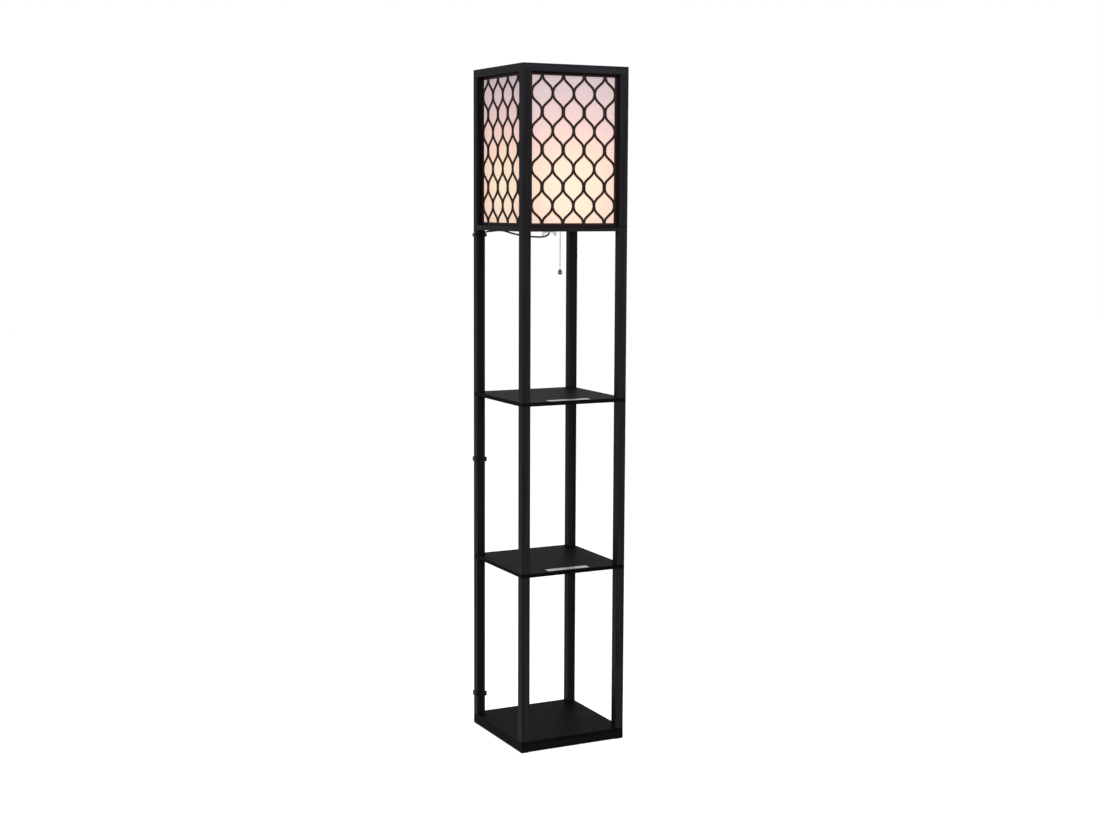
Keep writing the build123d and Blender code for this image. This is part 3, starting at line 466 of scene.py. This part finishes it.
# The panel lies flat so far. It stands up, moves out to its side, and is repeated round the shade.
depth = maths("MULTIPLY", size["Depth"], -1.0)
out_and_up = add(tree, "ShaderNodeCombineXYZ", {"Y": depth, "Z": size["Middle Height"]})
standing = add(tree, "GeometryNodeTransform", {
    "Geometry": panel.outputs[0], "Translation": out_and_up.outputs[0],
    "Rotation": (math.pi / 2, 0.0, 0.0)})
sides = add(tree, "GeometryNodePoints", {"Count": size["Sides"]})
index = add(tree, "GeometryNodeInputIndex")
turn_each = maths("MULTIPLY", index.outputs[0], maths("DIVIDE", 2 * math.pi, size["Sides"]))
turned = add(tree, "ShaderNodeCombineXYZ", {"Z": turn_each})
round_shade = add(tree, "GeometryNodeInstanceOnPoints", {
    "Points": sides.outputs[0], "Instance": standing.outputs[0], "Rotation": turned.outputs[0]})
finish_tree(tree, round_shade.outputs[0], lacquer)
print("lattice tree:", len(tree.nodes), "nodes and", len(lattice_sizes), "inputs")

# %% The wavy line and the four panels
quarter = s_curve()
there_and_back = quarter + [(x, 2 * HALF_REPEAT - y) for x, y in reversed(quarter[1:-1])]
wavy_points = []
for repeat in (-2, -1, 0, 1):
    wavy_points += [(x, y + repeat * 2 * HALF_REPEAT, 0.0) for x, y in there_and_back]
wavy_points.append((from_wide, 4 * HALF_REPEAT, 0.0))
grow(
    "ogee_lattice", line_mesh("wavy_line", wavy_points), tree, lattice_sizes, "tower",
    "lattice_board", *named("lattice_"))

# %% [markdown]
# ## The lit liner
# Behind each lattice a sheet of off-white linen-look polyester is stretched and glued. The bulb
# behind it is on, so the cloth glows: warm and bright low in the middle, nearest to the bulb, and
# pinkish grey towards the top corners. This glow is the bulb's light painted into the cloth, an
# emission whose colour follows the distance from the bulb, so it stays with the cloth and looks
# the same from every side. Under it the cloth's base colour is a grey, darker than its real
# off-white, so that the lamps add little to the painted glow. The yarns are 0.5 mm wide, and
# thicker and thinner ones run both ways, as in real linen.

# %% Cloth with a painted glow
BULB = (0.0, 0.0, 1.320)
cloth, tree, shader = material("linen_look_polyester_painted_glow", Roughness=0.9)
shader.inputs["Base Color"].default_value = linear("#6e6866")
place = on_piece(tree)
far = add(tree, "ShaderNodeVectorMath", {0: place, 1: BULB}, operation="DISTANCE").outputs["Value"]
# Distances from the bulb in metres, and the colour of the painted glow there.
painted_glow_stops = [(0.118, "#ffeac6"), (0.138, "#fedfc0"), (0.157, "#fad2ba"), (0.180, "#f3c8bc"),
         (0.206, "#e8bfbb"), (0.234, "#dab8ba"), (0.263, "#c9b0b4"), (0.305, "#b8a5aa")]
near, farthest = painted_glow_stops[0][0], painted_glow_stops[-1][0]
ramp = add(tree, "ShaderNodeValToRGB")
reach = add(tree, "ShaderNodeMapRange", {"Value": far, "From Min": near, "From Max": farthest})
tree.links.new(reach.outputs[0], ramp.inputs[0])
for index, (distance, code) in enumerate(painted_glow_stops):
    spot = (distance - near) / (farthest - near)
    element = ramp.color_ramp.elements[index] if index < 2 else ramp.color_ramp.elements.new(spot)
    element.position = spot
    element.color = linear(code)
weave_threads = []
ALONG_YARN, ACROSS_YARN = 120.0, 2000.0
for way in ((ALONG_YARN, ALONG_YARN, ACROSS_YARN), (ACROSS_YARN, ACROSS_YARN, ALONG_YARN)):
    stretched = add(tree, "ShaderNodeMapping", {"Vector": place, "Scale": way})
    yarn = add(tree, "ShaderNodeTexNoise", {
        "Vector": stretched.outputs[0], "Scale": 0.5, "Detail": 3.0, "Roughness": 0.6})
    weave_threads.append(yarn.outputs[0])
weave = add(tree, "ShaderNodeMath", dict(enumerate(weave_threads)), operation="ADD")
thread_tone = add(tree, "ShaderNodeMapRange", {
    "Value": weave.outputs[0], "From Min": 0.75, "From Max": 1.25, "To Min": 0.86, "To Max": 1.06})
glow = add(tree, "ShaderNodeVectorMath", {
    0: ramp.outputs[0], "Scale": thread_tone.outputs[0]}, operation="SCALE")
tree.links.new(glow.outputs[0], shader.inputs["Emission Color"])
shader.inputs["Emission Strength"].default_value = 0.86
emboss(tree, shader, weave.outputs[0], 0.3, 0.2 * MM)
print("cloth glows from", painted_glow_stops[0][1], "to", painted_glow_stops[-1][1])


# %% Four stretched sheets
CLOTH_THICKNESS, CLOTH_GAP = 0.5 * MM, 0.05 * MM


def cloth_sheet(side, turn):
    """A sheet of 230 x 349 mm behind one lattice, in squares of 10 mm."""
    low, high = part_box("liner_front")
    across, up = high.x - low.x, high.z - low.z
    mesh = bpy.data.meshes.new("liner_cloth_" + side)
    made = bmesh.new()
    bmesh.ops.create_grid(made, x_segments=23, y_segments=35, size=0.5)
    for vert in made.verts:
        x, y = vert.co.x, vert.co.y
        vert.co = Vector((x * across, low.y + CLOTH_GAP, (y + 0.5) * up + low.z))
    bmesh.ops.rotate(made, verts=made.verts, cent=(0, 0, 0), matrix=Matrix.Rotation(turn, 3, "Z"))
    made.to_mesh(mesh)
    made.free()
    sheet = bpy.data.objects.new("liner_cloth_" + side, mesh)
    bpy.context.scene.collection.objects.link(sheet)
    thick = sheet.modifiers.new("thickness", "SOLIDIFY")
    thick.thickness = CLOTH_THICKNESS
    thick.offset = -1.0
    mesh.materials.append(cloth)
    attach(sheet, "tower")
    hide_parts("liner_" + side)


for side, quarter_turns in (("front", 0), ("right", 1), ("rear", 2), ("left", 3)):
    cloth_sheet(side, quarter_turns * math.pi / 2)
print("liner sheets: 4")

# %% [markdown]
# ## Socket and bulb
# The socket is the common pull-chain kind: a black phenolic shell with a moulded, slightly mottled
# skin, a brass screw shell and a zinc-plated nipple that runs through the crossbar. The bulb is a
# frosted glass globe, lit from inside, so it is drawn as a warm emission that fades towards its
# ends, under a thin gloss. The CAD already holds all these shapes, so they need only finishes.

# %% Plastics and metals of the socket
def speckled(name, dark, pale, grain, gloss, bump, **values):
    """A moulded or cast finish: two close colours in grains of a real size, and a relief."""
    made, tree, shader = material(name, **values)
    place = on_piece(tree)
    cloud = add(tree, "ShaderNodeTexNoise", {
        "Vector": place, "Scale": 1 / (4 * grain), "Detail": 4.0})
    paint(tree, shader, cloud.outputs[0], dark, pale)
    roughen(tree, shader, cloud.outputs[0], *gloss)
    fine = add(tree, "ShaderNodeTexNoise", {"Vector": place, "Scale": 1 / grain, "Detail": 2.0})
    emboss(tree, shader, fine.outputs[0], bump, 0.1 * MM)
    return made


phenolic = speckled("moulded_phenolic", "#171414", "#262221", 1.5 * MM, (0.3, 0.42), 0.15)
zinc = speckled(
    "zinc_plated_steel", "#9a9ca0", "#bcbdbf", 2.0 * MM, (0.28, 0.42), 0.1, Metallic=1.0)
brass = speckled("drawn_brass", "#b08a45", "#c9a35c", 3.0 * MM, (0.25, 0.36), 0.05, Metallic=1.0)
tin = speckled("tinned_bulb_cap", "#b6b3ad", "#d0cdc6", 1.5 * MM, (0.25, 0.4), 0.1, Metallic=1.0)
dress(phenolic, "socket_cap", "socket_shell", "socket_core")
dress(zinc, "threaded_nipple", *named("studs_"), "base_screws")
dress(brass, "screw_shell")
dress(tin, "bulb_base")

# %% Frosted glass
glass, tree, shader = material("frosted_glass_lit_inside", Roughness=0.25)
shader.inputs["Base Color"].default_value = linear("#f4efe4")
far = add(tree, "ShaderNodeVectorMath", {
    0: on_piece(tree), 1: BULB}, operation="DISTANCE").outputs["Value"]
lit = add(tree, "ShaderNodeMapRange", {
    "Value": far, "From Min": 0.029, "From Max": 0.042, "To Min": 1.0, "To Max": 0.55})
shine = add(tree, "ShaderNodeVectorMath", {
    0: linear("#fff1d6")[:3], "Scale": lit.outputs[0]}, operation="SCALE")
tree.links.new(shine.outputs[0], shader.inputs["Emission Color"])
shader.inputs["Emission Strength"].default_value = 1.3
dress(glass, "bulb_globe")

# %% [markdown]
# ## Wing nut
# Two pale wings show beside the cord, under the ring: a hand-tightened nut of natural, milky
# polyamide that clamps the socket to the crossbar. Natural polyamide lets light through, which
# transmission with a rough surface gives. A faint emission paints a little light of the bulb right
# above it onto the nut: a painted glow.

# %% Natural polyamide
milky, tree, shader = material("natural_polyamide_painted_glow", Roughness=0.38, IOR=1.53)
shader.inputs["Transmission Weight"].default_value = 0.6
# The faint emission is painted light from the bulb above.
shader.inputs["Emission Color"].default_value = linear("#f2f5f8")
shader.inputs["Emission Strength"].default_value = 0.12
flow = add(tree, "ShaderNodeTexNoise", {"Vector": on_piece(tree), "Scale": 90.0, "Detail": 3.0})
paint(tree, shader, flow.outputs[0], "#d9dcde", "#f1f3f4")
dress(milky, "wing_nut")

# %% [markdown]
# ## Pull chain
# A ball chain is a row of small hollow steel balls that are crimped round short wires. It repeats,
# so a tree sets one ball on each point of a line and a thin wire through them all. The balls are
# nickel-plated, and handling has left their gloss dull and uneven, which a fine noise in the
# roughness gives.

# %% Nickel-plated balls
nickel, tree, shader = material("nickel_plated_steel", Metallic=1.0)
handled = add(tree, "ShaderNodeTexNoise", {
    "Vector": on_piece(tree), "Scale": 400.0, "Detail": 3.0})
paint(tree, shader, handled.outputs[0], "#98989a", "#c2c2c2")
roughen(tree, shader, handled.outputs[0], 0.22, 0.42)
dress(nickel, "chain_mouth", "pull_stem", "chain_coupling")

# %% Balls on a line, and a wire through them
chain_low, chain_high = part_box("pull_chain")
chain_x, chain_y = (chain_low.x + chain_high.x) / 2, (chain_low.y + chain_high.y) / 2
BEAD = 1.6 * MM
chain_sizes = {"Balls": 23, "Ball Pitch": 4.4 * MM, "Ball Radius": BEAD, "Wire Radius": 0.6 * MM}
tree, size = new_tree("ball_chain", chain_sizes)
down = add(tree, "ShaderNodeCombineXYZ", {"Z": maths("MULTIPLY", size["Ball Pitch"], -1.0)})
spots = add(tree, "GeometryNodeMeshLine", {
    "Count": size["Balls"], "Start Location": (chain_x, chain_y, chain_high.z - BEAD),
    "Offset": down.outputs[0]})
ball = add(tree, "GeometryNodeMeshUVSphere", {
    "Segments": 16, "Rings": 10, "Radius": size["Ball Radius"]})
round_ball = add(tree, "GeometryNodeSetShadeSmooth", {"Geometry": ball.outputs[0]})
balls = add(tree, "GeometryNodeInstanceOnPoints", {
    "Points": spots.outputs[0], "Instance": round_ball.outputs[0]})
wire_line = add(tree, "GeometryNodeMeshToCurve", {"Mesh": size["Geometry"]})
wire_round = add(tree, "GeometryNodeCurvePrimitiveCircle", {
    "Resolution": 10, "Radius": size["Wire Radius"]})
wire = add(tree, "GeometryNodeCurveToMesh", {
    "Curve": wire_line.outputs[0], "Profile Curve": wire_round.outputs[0], "Fill Caps": True})
both = add(tree, "GeometryNodeJoinGeometry")
for part in (balls.outputs[0], wire.outputs[0]):
    tree.links.new(part, both.inputs[0])
finish_tree(tree, both.outputs[0], nickel)
wire_mesh = line_mesh("chain_wire", [
    (chain_x, chain_y, chain_high.z - BEAD), (chain_x, chain_y, chain_low.z + 0.01 * MM)])
grow("ball_chain", wire_mesh, tree, chain_sizes, "chain", "chain_steel", "pull_chain")

# %% [markdown]
# ### The knob
# The knob is turned from black acetal and has a bright metal band at its widest part. The band is
# a matter of height only, so the finish reads the height of each point and switches there. A wave
# texture leaves the faint rings of the lathe.

# %% Knob with a band
def wave_scale(radian):
    """The scale at which one radian of a wave texture, a sixth of its period, is this long."""
    return 1 / (20 * radian)


BAND_BELOW_TOP, BAND_HALF_HEIGHT = 6.5 * MM, 0.65 * MM
band_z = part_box("chain_knob")[1].z - BAND_BELOW_TOP
acetal, tree, shader = material("turned_black_acetal_with_band", Roughness=0.3)
place = on_piece(tree)
height_of = add(tree, "ShaderNodeSeparateXYZ", {0: place}).outputs["Z"]
in_band = add(tree, "ShaderNodeMath", {
    0: height_of, 1: band_z, 2: BAND_HALF_HEIGHT}, operation="COMPARE")
paint(tree, shader, in_band.outputs[0], "#121113", "#b9b7b2")
tree.links.new(in_band.outputs[0], shader.inputs["Metallic"])
turned = add(tree, "ShaderNodeTexWave", {
    "Vector": place, "Scale": wave_scale(0.3 * MM)}, bands_direction="Z")
emboss(tree, shader, turned.outputs[0], 0.15, 0.05 * MM)
dress(acetal, "chain_knob")

# %% [markdown]
# ## Clips, cord and plug
# The clips are moulded black polyamide, satin and slightly grained by the mould. The lead's jacket
# and the plug are soft PVC, a little glossier, and a tie of ribbed black nylon holds the hank. The
# moulded ones are faintly mottled, so no surface is quite even, and the tie has its ribs.

# %% Black plastics
nylon = speckled("moulded_black_polyamide", "#0e0e0f", "#1a1a1b", 0.8 * MM, (0.42, 0.55), 0.3,
                 **{"Specular IOR Level": 0.1})
dress(nylon, "clip_bottom", "clip_middle", "clip_top")
jacket = speckled("extruded_black_pvc", "#0c0b0b", "#151414", 2.5 * MM, (0.42, 0.54), 0.12,
                  **{"Specular IOR Level": 0.15})
lead_curve.materials.append(jacket)
plug_pvc = speckled("moulded_black_pvc", "#0d0d0d", "#181818", 0.6 * MM, (0.4, 0.52), 0.35,
                    **{"Specular IOR Level": 0.35})
dress(plug_pvc, "plug_body")
blade = speckled("stamped_brass", "#b8924e", "#cdaa68", 1.2 * MM, (0.22, 0.34), 0.06, Metallic=1.0)
dress(blade, "plug_blades")

# %% Ribbed tie
webbing, tree, shader = material("ribbed_nylon_tie", Roughness=0.75)
ribs = add(tree, "ShaderNodeTexWave", {
    "Vector": on_piece(tree), "Scale": wave_scale(1.1 * MM)}, bands_direction="X").outputs["Fac"]
# The valleys are painted darker and the crests paler: painted shade and highlight on the ribs.
paint(tree, shader, ribs, "#0d0d0e", "#222224")
emboss(tree, shader, ribs, 0.6, 0.3 * MM)
dress(webbing, "hank_tie")

# %% [markdown]
# ### Finger grips on the plug
# A plug of this kind has raised ribs across its wide sides, so that it can be pulled with damp
# fingers. They are one small rounded bar, repeated, so a tree sets them along the plug.

# %% Ribs
FIRST_RIB_FROM_END, BOTTOM_SINK, TOP_SINK = 19.5 * MM, 0.35 * MM, 0.25 * MM
plug_low, plug_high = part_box("plug_body")
rib_sizes = {"Ribs": 5, "Rib Pitch": 3.2 * MM, "Rib Length": 13.0 * MM, "Rib Radius": 0.7 * MM}
tree, size = new_tree("plug_ribs", rib_sizes)
step = add(tree, "ShaderNodeCombineXYZ", {"X": size["Rib Pitch"]})
half_rib = maths("MULTIPLY", size["Rib Length"], 0.5)
ends = [add(tree, "ShaderNodeCombineXYZ", {"Y": value}).outputs[0]
        for value in (maths("MULTIPLY", half_rib, -1.0), half_rib)]
rib_line = add(tree, "GeometryNodeCurvePrimitiveLine", {"Start": ends[0], "End": ends[1]})
rib_line = add(tree, "GeometryNodeResampleCurve", {"Curve": rib_line.outputs[0], "Count": 9})
# Each rib swells from its rounded ends to an even middle.
along = add(tree, "GeometryNodeSplineParameter").outputs["Factor"]
centred = maths("ABSOLUTE", maths("SUBTRACT", maths("MULTIPLY", along, 2.0), 1.0))
swell = maths("SQRT", maths("MAXIMUM", maths("SUBTRACT", 1.0, maths("POWER", centred, 6.0)), 0.03))
rib_line = add(tree, "GeometryNodeSetCurveRadius", {"Curve": rib_line.outputs[0], "Radius": swell})
rib_round = add(tree, "GeometryNodeCurvePrimitiveCircle", {
    "Resolution": 12, "Radius": size["Rib Radius"]})
rib = add(tree, "GeometryNodeCurveToMesh", {
    "Curve": rib_line.outputs[0], "Profile Curve": rib_round.outputs[0], "Fill Caps": True})
rows = []
plug_y = (plug_low.y + plug_high.y) / 2
for rib_z in (plug_low.z + BOTTOM_SINK, plug_high.z - TOP_SINK):
    spots = add(tree, "GeometryNodeMeshLine", {
        "Count": size["Ribs"], "Offset": step.outputs[0],
        "Start Location": (plug_high.x - FIRST_RIB_FROM_END, plug_y, rib_z)})
    rows.append(add(tree, "GeometryNodeInstanceOnPoints", {
        "Points": spots.outputs[0], "Instance": rib.outputs[0]}).outputs[0])
both = add(tree, "GeometryNodeJoinGeometry")
for part in rows:
    tree.links.new(part, both.inputs[0])
finish_tree(tree, both.outputs[0], plug_pvc)
grow("plug_ribs", line_mesh("no_line", []), tree, rib_sizes, "tower", "plug_vinyl")

# %% [markdown]
# ## Felt, dowels and strips
# Under the base are four pads of black wool felt, whose fibres lie at random and leave no gloss at
# all. Dowels are plain beech. Near the front edge of both shelves the photograph shows a narrow
# pale strip: here it is blank film, whose silvery sheen is painted as grey, with paler and darker
# streaks painted across it as highlight and shade on its creases, which are also pressed in.

# %% Felt, beech and film
felt = speckled("pressed_wool_felt", "#1c1b1c", "#38363a", 0.5 * MM, (0.95, 1.0), 0.8,
                **{"Specular IOR Level": 0.1})
dress(felt, "base_pads")
beech = speckled("turned_beech", "#c79a6c", "#dcb689", 0.7 * MM, (0.55, 0.7), 0.2)
dress(beech, "crossbar_dowels")
film, tree, shader = material("film_painted_silver_sheen", Roughness=0.3, IOR=1.5)
stretched = add(tree, "ShaderNodeMapping", {"Vector": on_piece(tree), "Scale": (90.0, 12.0, 1.0)})
creases = add(tree, "ShaderNodeTexNoise", {
    "Vector": stretched.outputs[0], "Scale": 1.0, "Detail": 3.0})
# The grey and its pale streaks are the film's silvery sheen and crease highlights, painted.
paint(tree, shader, creases.outputs[0], "#6b696b", "#adacae")
emboss(tree, shader, creases.outputs[0], 0.3, 0.3 * MM)
dress(film, "blank_strips")

# %% [markdown]
# ## Floor and light
# The photograph was taken in a white studio, so the floor and the backdrop are white and the light
# is soft and plain. The white comes from what the camera and clear reflections see, not from
# stronger lamps: a floor lit to pure white would wash out the black wood.

# %% Floor
FLOOR_HALF_SIDE, FLOOR_DROP, FLOOR_LIFT = 12.0, 0.0005, 0.70


def in_sight(tree):
    """One for rays that show the surroundings, and nought for rays that only light the lamp."""
    rays = add(tree, "ShaderNodeLightPath").outputs
    seen = add(tree, "ShaderNodeMath", {
        0: rays["Is Camera Ray"], 1: rays["Is Glossy Ray"]}, operation="MAXIMUM")
    seen = add(tree, "ShaderNodeMath", {
        0: seen.outputs[0], 1: rays["Is Transmission Ray"]}, operation="MAXIMUM")
    return seen.outputs[0]


floor_mesh = bpy.data.meshes.new("floor")
made = bmesh.new()
bmesh.ops.create_grid(made, x_segments=1, y_segments=1, size=FLOOR_HALF_SIDE)
made.to_mesh(floor_mesh)
made.free()
floor = bpy.data.objects.new("floor", floor_mesh)
bpy.context.scene.collection.objects.link(floor)
floor.location.z = -FLOOR_DROP
paper, tree, shader = material("white_paper_sweep", Roughness=0.9)
shader.inputs["Base Color"].default_value = linear("#dcdcdc")
shader.inputs["Emission Color"].default_value = linear("#ffffff")
lift = add(tree, "ShaderNodeMath", {0: in_sight(tree), 1: FLOOR_LIFT}, operation="MULTIPLY")
tree.links.new(lift.outputs[0], shader.inputs["Emission Strength"])
floor_mesh.materials.append(paper)
print("floor", 2 * FLOOR_HALF_SIDE, "m square")

# %% World and lamps
SOFT, WHITE = 0.36, 1.0
world = bpy.data.worlds.new("studio")
bpy.context.scene.world = world
world.use_nodes = True
tree = world.node_tree
tree.nodes.clear()
soft, white = [add(tree, "ShaderNodeBackground", {"Color": linear("#ffffff"), "Strength": strength})
               for strength in (SOFT, WHITE)]
either = add(tree, "ShaderNodeMixShader", {
    0: in_sight(tree), 1: soft.outputs[0], 2: white.outputs[0]})
add(tree, "ShaderNodeOutputWorld", {"Surface": either.outputs[0]})


AIM, SOFTBOX_SIDE = Vector((0, 0, 1.3)), 1.6


def softbox(name, place, watts):
    """A square area light that faces the shade."""
    data = bpy.data.lights.new(name, "AREA")
    data.size = SOFTBOX_SIDE
    data.energy = watts
    lamp = bpy.data.objects.new(name, data)
    bpy.context.scene.collection.objects.link(lamp)
    lamp.location = place
    lamp.rotation_euler = (AIM - Vector(place)).to_track_quat("-Z", "Y").to_euler()


softbox("key", (-1.6, -2.3, 2.9), 80)
softbox("fill", (1.2, -2.4, 2.7), 60)
print("two softboxes and a white world")
